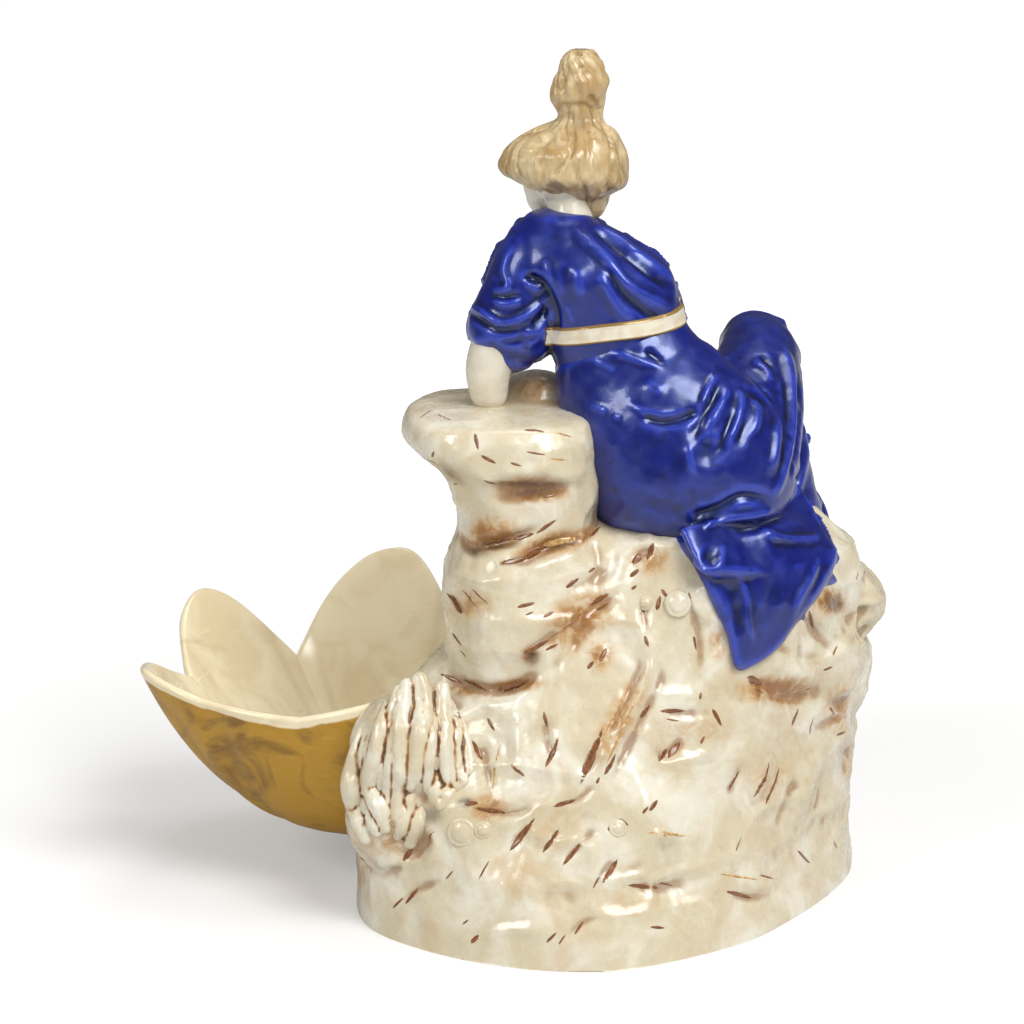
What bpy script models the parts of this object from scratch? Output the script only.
"""Porcelain centerpiece: a seated woman leaning on a rock, above a lobed shell bowl.

The real object is slip-cast and fired as one body, so this is one solid: a hollow
rock with an open foot, the bowl that grows from its side, and the figure on top.
Sizes are in millimetres: X to the right of the back view, Y away from it, Z up.
Each form is a closed skin over rings, and a Remesh modifier fuses the forms the way
slip joins the cast pieces before firing.
"""

import math

import bmesh
import bpy
import numpy as np
from mathutils import Vector
from mathutils.bvhtree import BVHTree

MM = 0.001

# The rock, whose foot is an uneven round: its half sizes, and the outline in shares of them
BASE_CENTRE = (39.0, -3.0)
BASE_HALF_WIDTH = 100.0
BASE_HALF_DEPTH = 95.0
BASE_OUTLINE = ((1.0, 0.34), (0.96, 0.08), (0.85, -0.18), (0.68, -0.46), (0.48, -0.71), (0.09, -0.96),
                (-0.19, -1.0), (-0.53, -0.9), (-0.83, -0.68), (-0.97, -0.45), (-1.0, -0.1),
                (-0.92, 0.32), (-0.7, 0.68), (-0.32, 0.93), (0.16, 1.0), (0.6, 0.9), (0.89, 0.65))
SEAT_HEIGHT = 150.0
PILLAR_CENTRE = (2.0, -2.0)
PILLAR_HEIGHT = 196.0
PILLAR_HALF_WIDTH = 31.0
PILLAR_HALF_DEPTH = 40.0
ROCK_ROUGHNESS = 2.6
ROCK_GRAIN = 26.0

# The cast wall, left standing round the hollows
ROCK_WALL = 9.0
BODY_WALL = 8.0

# The shell bowl
BOWL_CENTRE = (-50.0, 30.0)
BOWL_REACH = 100.0
BOWL_HEIGHT = 100.0
BOWL_BOTTOM = 20.0
BOWL_WALL = 4.6
BOWL_STEEPNESS = 2.0
BOWL_TO_ROCK = 9.0

# The figure, measured from the point where she sits
SEAT = (72.0, -6.0)
HIP_HALF_WIDTH = 40.0
HIP_HALF_DEPTH = 32.0
WAIST_HALF_WIDTH = 26.5
CHEST_HALF_WIDTH = 29.0
CHEST_HALF_DEPTH = 20.5
THIGH_RADIUS = 22.0
KNEE_RADIUS = 15.0
ARM_RADIUS = 9.5
WRIST_RADIUS = 5.5
HEAD_RADIUS = 15.0
HAIR_HALF_WIDTH = 24.5
HAIR_HALF_DEPTH = 22.0
BUN_RADIUS = 10.5
TAIL_STANDS_OFF = 4.5
TAIL_SINKS_IN = 5.0

# The edges of the skirt's end, seen from above the rock: direction in degrees, height over the seat
TAIL_LEFT = ((-105, 1), (-98, -4), (-89, -15), (-82, -28), (-78, -38), (-75.5, -47))
TAIL_RIGHT = ((8, -1), (-7, -13), (-17, -22), (-30, -29), (-47, -41), (-70, -48))

# How finely the fused body is made
VOXEL = 1.7
ROCK_VOXEL = 2.2
SMOOTH_ROUNDS = 3
BODY_TRIANGLES = 8800
AROUND = 56

# The rim's crests and notches, going round: direction in degrees, shares of reach and height
CRESTS = ((42.0, 0.98, 0.92), (88.5, 0.92, 1.02), (147.0, 0.95, 0.95), (198.0, 0.995, 0.865))
NOTCHES = ((70.0, 0.8, 0.62), (123.0, 0.75, 0.59), (171.0, 0.83, 0.68))
# The rim from the last crest back to the first, along the rock and inside it
ROCK_SIDE = ((214.0, 0.86, 0.8), (243.0, 0.71, 0.77), (271.0, 0.68, 0.86), (290.0, 0.62, 0.86),
             (315.0, 0.42, 0.72), (345.0, 0.36, 0.66), (375.0, 0.46, 0.66))


def clear_scene():
    """Removes what the startup scene holds."""
    for thing in list(bpy.data.objects):
        bpy.data.objects.remove(thing)


def smooth_rows(stations, count):
    """A Catmull-Rom curve through the rows of stations, read at count even steps."""
    rows = np.array(stations, float)
    rows = np.vstack([2 * rows[0] - rows[1], rows, 2 * rows[-1] - rows[-2]])
    spans = len(rows) - 3
    place = np.linspace(0, spans, count)
    k = np.minimum(place.astype(int), spans - 1)
    u = (place - k)[:, None]
    a, b, c, d = rows[k], rows[k + 1], rows[k + 2], rows[k + 3]
    bend = (2 * a - 5 * b + 4 * c - d) * u**2 + (3 * b - a - 3 * c + d) * u**3
    return 0.5 * (2 * b + (c - a) * u + bend)


def skin(name, rings):
    """A closed mesh object over rings of points, with a pole at each end."""
    shape = bmesh.new()
    rows = [[shape.verts.new(point * MM) for point in ring] for ring in rings]
    for low, high in zip(rows, rows[1:]):
        for i in range(len(low)):
            j = (i + 1) % len(low)
            shape.faces.new((low[i], low[j], high[j], high[i]))
    for ring, row in ((rings[0], rows[0]), (rings[-1], rows[-1])):
        pole = shape.verts.new(np.mean(ring, axis=0) * MM)
        for i in range(len(row)):
            shape.faces.new((row[i], row[(i + 1) % len(row)], pole))
    bmesh.ops.recalc_face_normals(shape, faces=shape.faces)
    if shape.calc_volume(signed=True) < 0:
        bmesh.ops.reverse_faces(shape, faces=shape.faces)
    mesh = bpy.data.meshes.new(name)
    shape.to_mesh(mesh)
    shape.free()
    return placed(name, mesh)


def placed(name, mesh):
    """A new object in the scene that shows the mesh."""
    thing = bpy.data.objects.new(name, mesh)
    bpy.context.scene.collection.objects.link(thing)
    return thing


def loft(name, stations, side=(1, 0, 0), upright=False, square=2.0, cap=1.0, outline=None,
         around=AROUND, along=40):
    """A rounded form through stations of (x, y, z, half width, half depth).

    Rings stand across the path, or lie level where upright is set. Half widths run
    along side, and square over 2 makes the rings boxier, or outline gives their shape.
    The ends are domes, and cap is their height as a share of a half ball's.
    """
    around, along = int(around), int(along)
    rows = smooth_rows(stations, along)
    centres, radii = rows[:, :3], np.maximum(rows[:, 3:5], 0.5)
    ahead = np.gradient(centres, axis=0)
    if upright:
        ahead[:] = (0, 0, 1)
    ahead /= np.linalg.norm(ahead, axis=1)[:, None]
    wide = np.array(side, float) - ahead * (ahead @ np.array(side, float))[:, None]
    wide /= np.linalg.norm(wide, axis=1)[:, None]
    deep = np.cross(ahead, wide)
    turn = np.linspace(0, 2 * math.pi, around, endpoint=False)
    c = np.sign(np.cos(turn)) * np.abs(np.cos(turn)) ** (2 / square)
    s = np.sign(np.sin(turn)) * np.abs(np.sin(turn)) ** (2 / square)
    if outline is not None:
        c, s = outline

    def ring(k, share, slide):
        across = radii[k, 0] * c[:, None] * wide[k] + radii[k, 1] * s[:, None] * deep[k]
        return centres[k] + ahead[k] * slide + share * across

    rounding = np.radians((70, 45, 20))
    first, last = cap * radii[0].min(), cap * radii[-1].min()
    start = [ring(0, math.cos(a), -first * math.sin(a)) for a in rounding]
    end = [ring(-1, math.cos(a), last * math.sin(a)) for a in rounding[::-1]]
    return skin(name, start + [ring(k, 1.0, 0.0) for k in range(along)] + end)


def ball(name, centre, radii):
    """An ellipsoid, as a short loft between its two poles."""
    x, y, z = centre
    wide, deep, tall = radii
    tilt = np.radians(np.linspace(-80, 80, 9))
    rows = [(x, y, z + tall * math.sin(a), wide * math.cos(a), deep * math.cos(a)) for a in tilt]
    return loft(name, rows, upright=True, along=24)


def joined(name, things):
    """One object that holds the skins of all the things."""
    shape = bmesh.new()
    for thing in things:
        shape.from_mesh(shown_mesh(thing))
        bpy.data.objects.remove(thing)
    mesh = bpy.data.meshes.new(name)
    shape.to_mesh(mesh)
    shape.free()
    return placed(name, mesh)


def shown_mesh(thing):
    """A mesh of the thing with its modifiers applied."""
    graph = bpy.context.evaluated_depsgraph_get()
    return bpy.data.meshes.new_from_object(thing.evaluated_get(graph))


def helper(thing):
    """Marks a cutter or a guide."""
    thing.hide_render = True
    thing.display_type = "WIRE"
    return thing


def cut(thing, cutter):
    """Takes the cutter's solid out of the thing."""
    modifier = thing.modifiers.new(cutter.name, "BOOLEAN")
    modifier.operation = "DIFFERENCE"
    modifier.solver = "EXACT"
    modifier.object = cutter


def fuse(thing, voxel):
    """Joins the overlapping skins of the thing into one."""
    modifier = thing.modifiers.new("fuse", "REMESH")
    modifier.mode = "VOXEL"
    modifier.voxel_size = voxel * MM


def rim(turn):
    """Reach and height of the bowl's rim at each angle: rounded crests, sharp notches."""
    crests = [(*row, True) for row in CRESTS]
    notches = [(*row, False) for row in NOTCHES]
    rows = sorted(crests + notches + [(*row, False) for row in ROCK_SIDE])
    rows.append((rows[0][0] + 360, *rows[0][1:]))
    turn = (turn - rows[0][0]) % 360 + rows[0][0]
    reach, height = np.zeros_like(turn), np.zeros_like(turn)
    for here, there in zip(rows, rows[1:]):
        inside = (turn >= here[0]) & (turn <= there[0])
        share = (turn[inside] - here[0]) / (there[0] - here[0])
        if here[3] and not there[3]:
            share = 1 - np.sin(math.pi / 2 * (1 - share))
        elif there[3] and not here[3]:
            share = np.sin(math.pi / 2 * share)
        reach[inside] = here[1] + (there[1] - here[1]) * share
        height[inside] = here[2] + (there[2] - here[2]) * share
    return BOWL_REACH * reach, BOWL_HEIGHT * height


def foot_outline(count):
    """The foot's outline as count points, in shares of its half sizes."""
    rows = np.array([*BASE_OUTLINE, BASE_OUTLINE[0]])
    points = smooth_rows(rows, int(count) + 1)[:-1]
    return points[:, 0], points[:, 1]


def bowl_sheet(turns, steps, inset=0.0):
    """The bowl's middle surface as rings from near its bottom to its rim."""
    turn = np.linspace(0, 360, turns, endpoint=False)
    reach, height = rim(turn)
    reach = reach - inset
    share = np.linspace(0.04, 1, steps)[:, None]
    angle = np.radians(turn)
    by_rock = np.clip(np.cos(angle - math.radians(255)), 0, 1) ** 2
    steepness = BOWL_STEEPNESS * (1 + 1.8 * by_rock)
    x = BOWL_CENTRE[0] + share * reach * np.cos(angle)
    y = BOWL_CENTRE[1] + share * reach * np.sin(angle)
    z = BOWL_BOTTOM + share**steepness * (height - BOWL_BOTTOM)
    return np.stack([x, y, z], axis=2)


def bowl():
    """The bowl's wall: the sheet thickened both ways, with a round lip."""
    sheet = bowl_sheet(220, 34)
    outward = np.gradient(sheet, axis=0)
    along = np.roll(sheet, -1, axis=1) - np.roll(sheet, 1, axis=1)
    outward /= np.linalg.norm(outward, axis=2)[:, :, None]
    normal = np.cross(outward, along)
    normal /= np.linalg.norm(normal, axis=2)[:, :, None]
    half = BOWL_WALL / 2
    inside = sheet + normal * half
    outside = sheet - normal * half
    lip = [sheet[-1] + half * (normal[-1] * math.cos(a) + outward[-1] * math.sin(a))
           for a in np.radians((36, 72, 108, 144))]
    return skin("bowl", [*inside, *lip, *outside[::-1]])


def bowl_space(name, grow=0.0, turns=120, steps=20):
    """The bowl's hollow carried straight up past the rim, grown outwards where asked."""
    turn = np.linspace(0, 360, turns, endpoint=False)
    on_rock = np.clip(2 - np.abs((turn - 325 + 180) % 360 - 180) / 30, 0, 1)
    sheet = bowl_sheet(turns, steps, inset=BOWL_TO_ROCK * on_rock - grow)
    sheet = sheet - np.array((0, 0, grow))
    top = [sheet[-1] + np.array((0, 0, rise + grow)) for rise in (20.0, 60.0, 90.0)]
    return helper(skin(name, [*sheet, *top]))


def mound(name, inset=0.0, bottom=-6.0, **detail):
    """The rock that she sits on, or its hollow where inset is the wall."""
    x, y = BASE_CENTRE
    wide, deep = BASE_HALF_WIDTH - inset, BASE_HALF_DEPTH - inset
    return loft(name, (
        (x, y, bottom, wide, deep),
        (x, y, 2, wide, deep),
        (x - 1, y + 2, 26, wide - 2, deep - 5),
        (x, y + 4, 55, wide - 1, deep - 14),
        (x + 8, y + 6, 85, wide - 8, deep - 25),
        (x + 22, y + 6, 0.75 * SEAT_HEIGHT, wide - 20, deep - 37),
        (x + 32, y + 5, 0.9 * SEAT_HEIGHT - inset / 2, wide - 35, deep - 46),
        (x + 33, y + 3, SEAT_HEIGHT - inset, wide - 52, deep - 54)),
        upright=True, cap=0.1, **detail)


def pillar(name, inset=0.0, **detail):
    """The rock under her arm, or its hollow where inset is the wall."""
    x, y = PILLAR_CENTRE
    wide, deep = PILLAR_HALF_WIDTH - inset, PILLAR_HALF_DEPTH - inset
    return loft(name, (
        (x + 4, y - 6, 40 + inset, wide, deep),
        (x + 3, y - 8, 0.48 * PILLAR_HEIGHT, wide - 1, deep + 2),
        (x + 6, y - 8, 0.62 * PILLAR_HEIGHT, wide + 2, deep + 3),
        (x + 5, y - 5, 0.72 * PILLAR_HEIGHT, wide, deep),
        (x + 3, y - 1, 0.77 * PILLAR_HEIGHT, wide - 3, deep - 3),
        (x + 2, y, 0.86 * PILLAR_HEIGHT, wide, deep),
        (x - 5, y, 0.94 * PILLAR_HEIGHT - inset / 2, wide + 7, deep + 1),
        (x - 6, y, PILLAR_HEIGHT - 3 - inset, wide + 5, deep - 2)),
        upright=True, square=2.8, cap=0.1, **detail)


def noise(points, size, seed):
    """Smooth noise between -1 and 1: random values at the corners of cells of that size, blended."""
    table = np.random.default_rng(seed).uniform(-1, 1, 4096)
    place = points / np.asarray(size, float)
    cell = np.floor(place).astype(np.int64)
    share = place - cell
    share = share * share * share * (share * (share * 6 - 15) + 10)
    total = np.zeros(len(points))
    for corner in range(8):
        bits = np.array((corner & 1, corner >> 1 & 1, corner >> 2 & 1))
        key = (cell + bits) * (73856093, 19349663, 83492791)
        key = key[:, 0] ^ key[:, 1] ^ key[:, 2]
        total += table[key & 4095] * np.prod(np.where(bits == 1, share, 1 - share), axis=1)
    return total


def relief(points):
    """How far the rock's lumps and ledges stand out at each point, less towards its foot."""
    free = np.clip((points[:, 2] - 3) / 25, 0, 1) * np.clip((PILLAR_HEIGHT + 6 - points[:, 2]) / 25, 0.2, 1)
    lumps = noise(points, ROCK_GRAIN, 21) + 0.5 * noise(points, ROCK_GRAIN / 2, 22)
    ledges = 1 - np.abs(noise(points, (0.8 * ROCK_GRAIN, 0.8 * ROCK_GRAIN, 0.5 * ROCK_GRAIN), 11))
    return ROCK_ROUGHNESS * free * (0.7 * lumps + 0.7 * (ledges**3 - 0.4))


def rock():
    """The mound with the bowl's space taken out, then the pillar and the boulders."""
    base = mound("mound", outline=foot_outline(AROUND))
    cut(base, bowl_space("bowl_space"))
    boulders = [ball(f"boulder_{k}", centre, radii) for k, (centre, radii) in enumerate((
        ((133, 30, 108), (17, 22, 17)),
        ((128, 34, 78), (17, 26, 22)),
        ((114, 8, 92), (26, 28, 22)),
        ((110, 60, 82), (32, 24, 36)),
        ((46, 58, 76), (36, 30, 28)),
        ((10, 16, PILLAR_HEIGHT), (16, 18, 8)),
        ((-38, -46, 71), (25, 20, 22)),
        ((-42, -44, 44), (22, 22, 26)),
        ((60, -17, 124), (32, 22, 22))))]
    whole = joined("rock", [base, pillar("pillar"), *boulders])
    fuse(whole, ROCK_VOXEL)
    mesh = shown_mesh(whole)
    bpy.data.objects.remove(whole)
    points = np.empty(3 * len(mesh.vertices), np.float32)
    mesh.vertices.foreach_get("co", points)
    normals = np.empty(3 * len(mesh.vertices), np.float32)
    mesh.vertex_normals.foreach_get("vector", normals)
    points = points.reshape(-1, 3) / MM
    points += normals.reshape(-1, 3) * relief(points)[:, None]
    mesh.vertices.foreach_set("co", (points * MM).ravel())
    return placed("rock", mesh)


def on_seat(*rows):
    """Stations of the figure, moved from the seat's own frame to the object's."""
    return [(SEAT[0] + row[0], SEAT[1] + row[1], SEAT_HEIGHT + row[2], *row[3:]) for row in rows]


def hips(name, inset=0.0, **detail):
    """The seat that leans to the left up to the waist, or its hollow."""
    hip, waist = HIP_HALF_WIDTH - inset, WAIST_HALF_WIDTH - inset
    deep, thick = HIP_HALF_DEPTH - inset, CHEST_HALF_DEPTH - inset
    return loft(name, on_seat(
        (2, 0, 2 - 2 * inset, hip - 10, deep - 6),
        (0, -2, 13, hip - 1, deep - 1),
        (-6, -2, 26, hip, deep),
        (-15, 0, 40, hip - 4, deep - 4),
        (-25, 4, 55, (hip + waist) / 2 - 2, (deep + thick) / 2 - 3),
        (-31, 6, 69, waist, thick - 1.5)), cap=0.3, **detail)


def chest(name, inset=0.0, **detail):
    """The waist, the chest and the shoulders, or their hollow."""
    waist, wide = WAIST_HALF_WIDTH - inset, CHEST_HALF_WIDTH - inset
    thick = CHEST_HALF_DEPTH - inset
    return loft(name, on_seat(
        (-28, 6, 60, waist, thick - 2),
        (-31, 6, 69, waist, thick - 1.5),
        (-35, 8, 84, wide - 1, thick),
        (-41, 9, 97 - inset / 2, wide + 1, thick),
        (-46, 11, 105 - inset, wide - 1, thick - 2.5),
        (-52, 13, 112 - inset, wide - 8, thick - 6),
        (-54, 14, 117 - inset, wide - 16, thick - 9)), upright=True, cap=0.3, **detail)


def limbs():
    """Neck, sleeves, arms, legs under the skirt, and feet."""
    arm, wrist = ARM_RADIUS, WRIST_RADIUS
    thigh, knee = THIGH_RADIUS, KNEE_RADIUS
    rest = PILLAR_HEIGHT - SEAT_HEIGHT
    return [
        loft("neck", on_seat(
            (-50, 13, 108, arm + 1, arm),
            (-50, 17, 120, arm - 1, arm - 1),
            (-53, 22, 132, arm, arm))),
        loft("left_sleeve", on_seat(
            (-58, 12, 107, arm + 2.5, arm + 2.5),
            (-65, 10, 100, arm + 4, arm + 4),
            (-70, 8, 88, arm + 4.5, arm + 5),
            (-72.5, 7, 77, arm + 7, arm + 6),
            (-73, 6, 69, arm + 6, arm + 5),
            (-74, 5, 64, arm + 1, arm + 1)), cap=0.5),
        loft("left_upper_arm", on_seat(
            (-72, 7, 86, arm, arm),
            (-78, 4, 70, arm, arm),
            (-81, 2, rest + 14, arm, arm),
            (-81, 2, rest + 5, arm - 1.5, arm - 1.5))),
        loft("left_forearm", on_seat(
            (-81, 4, rest + 7, arm - 1.5, arm - 1.5),
            (-80, 22, rest + 7, arm - 1.5, arm - 2),
            (-79, 40, rest + 5, wrist + 0.5, wrist),
            (-78, 50, rest + 3, wrist + 1.5, wrist - 1.5),
            (-77, 60, rest - 3, wrist, wrist - 2.5))),
        loft("right_sleeve", on_seat(
            (-30, 13, 97, arm + 1, arm + 1),
            (-23, 22, 89, arm + 3, arm + 3),
            (-18, 30, 78, arm + 4, arm + 3.5),
            (-18, 34, 70, arm + 2.5, arm + 2.5))),
        loft("right_forearm", on_seat(
            (-18, 34, 68, arm - 2, arm - 2),
            (-26, 50, 55, arm - 2.5, arm - 2.5),
            (-36, 62, 42, wrist, wrist),
            (-43, 67, 33, wrist + 1, wrist - 2))),
        loft("right_thigh", on_seat(
            (16, 6, 26, thigh + 2, thigh + 2),
            (22, 30, 40, thigh - 1, thigh - 1),
            (26, 54, 51, knee + 2, knee + 2),
            (26, 68, 54, knee, knee))),
        loft("right_shin", on_seat(
            (26, 70, 53, knee, knee),
            (28, 68, 36, knee + 1, knee),
            (29, 65, 16, knee + 1, knee),
            (32, 61, -2, knee + 2, knee),
            (39, 54, -17, knee + 3, knee),
            (43, 48, -24, knee, knee - 1))),
        loft("skirt_under_thigh", on_seat(
            (20, 31, 26, thigh + 2, thigh - 2),
            (24, 34, 5, thigh + 2, thigh),
            (31, 32, -13, thigh, thigh))),
        loft("left_thigh", on_seat(
            (-18, 12, 22, thigh + 2, thigh),
            (-28, 38, 20, thigh - 2, thigh - 3),
            (-36, 60, 14, knee + 1, knee + 1),
            (-40, 70, 8, knee, knee))),
        loft("left_shin", on_seat(
            (-40, 72, 6, knee, knee),
            (-40, 76, -15, knee - 1, knee - 1),
            (-42, 76, -34, knee - 2, knee - 2),
            (-44, 76, -44, knee - 2, knee - 2)), side=(1, 0, 0)),
        loft("skirt_front", on_seat(
            (-12, 16, 18, thigh + 8, thigh - 2),
            (-8, 42, 16, thigh + 10, thigh - 8),
            (-8, 60, 3, thigh + 11, thigh - 10),
            (-6, 66, -18, thigh + 11, thigh - 11),
            (-4, 66, -34, thigh + 10, thigh - 12))),
        loft("left_foot", on_seat(
            (-44, 78, -52, wrist + 1, wrist),
            (-46, 92, -53, wrist + 1, wrist - 1),
            (-48, 102, -55, wrist, wrist - 2))),
        loft("right_foot", on_seat(
            (44, 60, -34, wrist + 1, wrist),
            (47, 76, -36, wrist + 1, wrist - 1),
            (49, 88, -38, wrist, wrist - 2)))]


def tail_root():
    """The fold that the skirt's end hangs from."""
    return loft("tail_root", on_seat((21, -15, -2, 40, 7), (27, -27, -15, 38, 5)), side=(0.72, 0.66, -0.2),
                cap=0.5)


def hanging_tail(rock_mesh, rows=24, columns=20):
    """The skirt's end at the back: a sheet between its two edges, laid on the rock's own surface."""
    tree = BVHTree.FromPolygons([vertex.co for vertex in rock_mesh.vertices],
                                [tuple(face.vertices) for face in rock_mesh.polygons])
    share = np.linspace(0, 1, columns)[None, :, None]
    grid = smooth_rows(TAIL_LEFT, rows)[:, None] * (1 - share) + smooth_rows(TAIL_RIGHT, rows)[:, None] * share
    turn = np.radians(grid[..., 0])
    ways = np.stack([np.cos(turn), np.sin(turn), 0 * turn], axis=-1)
    feet = np.stack([0 * turn + SEAT[0], 0 * turn + SEAT[1] + 8, grid[..., 1] + SEAT_HEIGHT], axis=-1)
    outside = 2 * BASE_HALF_WIDTH
    reach = np.zeros(turn.shape)
    for place in np.ndindex(*turn.shape):
        start = Vector((feet[place] + ways[place] * outside) * MM)
        gap = tree.ray_cast(start, Vector(-ways[place]))[3]
        reach[place] = outside - gap / MM if gap else 0
    reach = np.where(reach > 0, reach, np.median(reach))
    side = np.minimum(share[..., 0], 1 - share[..., 0])
    rounding = np.minimum(1, side / 0.1) ** 0.5
    front = feet + ways * (reach + TAIL_STANDS_OFF * rounding)[..., None]
    back = feet + ways * (reach - TAIL_SINKS_IN)[..., None]
    return skin("tail", np.concatenate([front, back[:, ::-1]], axis=1))


def head():
    """Skull, face turned down to the left, the full hair and its bun."""
    wide, deep, bun = HAIR_HALF_WIDTH, HAIR_HALF_DEPTH, BUN_RADIUS
    x, y, z = -53, 22, 137
    return [
        ball("skull", on_seat((x, y, z))[0], (HEAD_RADIUS, HEAD_RADIUS + 2, HEAD_RADIUS + 2)),
        ball("face", on_seat((x - 5, y + 9, z - 8))[0], (HEAD_RADIUS - 3, HEAD_RADIUS - 3, HEAD_RADIUS + 1)),
        loft("hair", on_seat(
            (-47, 24, 124, wide - 12, deep - 10),
            (-48, 24, 128, wide - 5, deep - 4),
            (-52, 24, 133, wide, deep),
            (-52, 24, 138, wide, deep),
            (-51, 24, 143, wide - 3, deep - 1),
            (-48, 24, 149, wide - 9, deep - 7),
            (-46, 24, 154, bun - 2, bun - 2),
            (-47, 24, 162, bun, bun - 0.5),
            (-45.5, 24, 168, bun, bun - 0.5),
            (-45.5, 24, 172, bun - 2, bun - 2)), upright=True, along=60)]


def hollows():
    """What the slip left empty, open at the foot: the rock, the pillar and the body."""
    in_rock = mound("hollow_rock", ROCK_WALL, -30, outline=foot_outline(36), around=36, along=14)
    cut(in_rock, bowl_space("round_bowl", ROCK_WALL, 48, 9))
    coarse = {"around": 24, "along": 10}
    return [helper(in_rock), helper(pillar("hollow_pillar", ROCK_WALL, **coarse)),
            helper(hips("hollow_hips", BODY_WALL, **coarse)),
            helper(chest("hollow_chest", BODY_WALL, **coarse))]


def floor_block():
    """All below the level that the rock stands on."""
    reach = 4 * BASE_HALF_WIDTH
    shape = bmesh.new()
    bmesh.ops.create_cube(shape, size=1)
    bmesh.ops.scale(shape, vec=(reach * MM, reach * MM, 60 * MM), verts=shape.verts)
    bmesh.ops.translate(shape, vec=(0, 0, -30 * MM), verts=shape.verts)
    mesh = bpy.data.meshes.new("below_foot")
    shape.to_mesh(mesh)
    shape.free()
    return helper(placed("below_foot", mesh))


def porcelain():
    """Glazed ivory porcelain."""
    material = bpy.data.materials.new("glazed_porcelain")
    material.use_nodes = True
    shader = material.node_tree.nodes["Principled BSDF"]
    shader.inputs["Base Color"].default_value = (0.80, 0.72, 0.55, 1)
    shader.inputs["Roughness"].default_value = 0.25
    shader.inputs["Metallic"].default_value = 0.0
    return material


def centerpiece():
    """Fuses all forms, thins the mesh, and opens the foot and the hollows."""
    stone = rock()
    forms = [bowl(), hips("hips"), chest("chest"), tail_root(), hanging_tail(stone.data), *limbs(), *head()]
    whole = joined("fusing", [stone, *forms])
    fuse(whole, VOXEL)
    soft = whole.modifiers.new("slip", "SMOOTH")
    soft.iterations = int(SMOOTH_ROUNDS)
    fine = shown_mesh(whole)
    triangles = sum(len(face.vertices) - 2 for face in fine.polygons)
    thinner = whole.modifiers.new("fewer_triangles", "DECIMATE")
    thinner.ratio = min(1.0, BODY_TRIANGLES / triangles)
    mesh = shown_mesh(whole)
    bpy.data.objects.remove(whole)
    piece = placed("centerpiece", mesh)
    for cutter in [floor_block(), *hollows()]:
        cut(piece, cutter)
    piece.data.materials.clear()
    piece.data.materials.append(porcelain())
    return piece


def centre(piece):
    """Puts the middle of the object's box over the origin, with helpers along."""
    points = np.array([vertex.co for vertex in shown_mesh(piece).vertices])
    middle = (points.min(axis=0) + points.max(axis=0)) / 2
    for thing in bpy.context.scene.objects:
        thing.location = (-middle[0], -middle[1], 0)
    return middle


clear_scene()
print("middle", centre(centerpiece()))
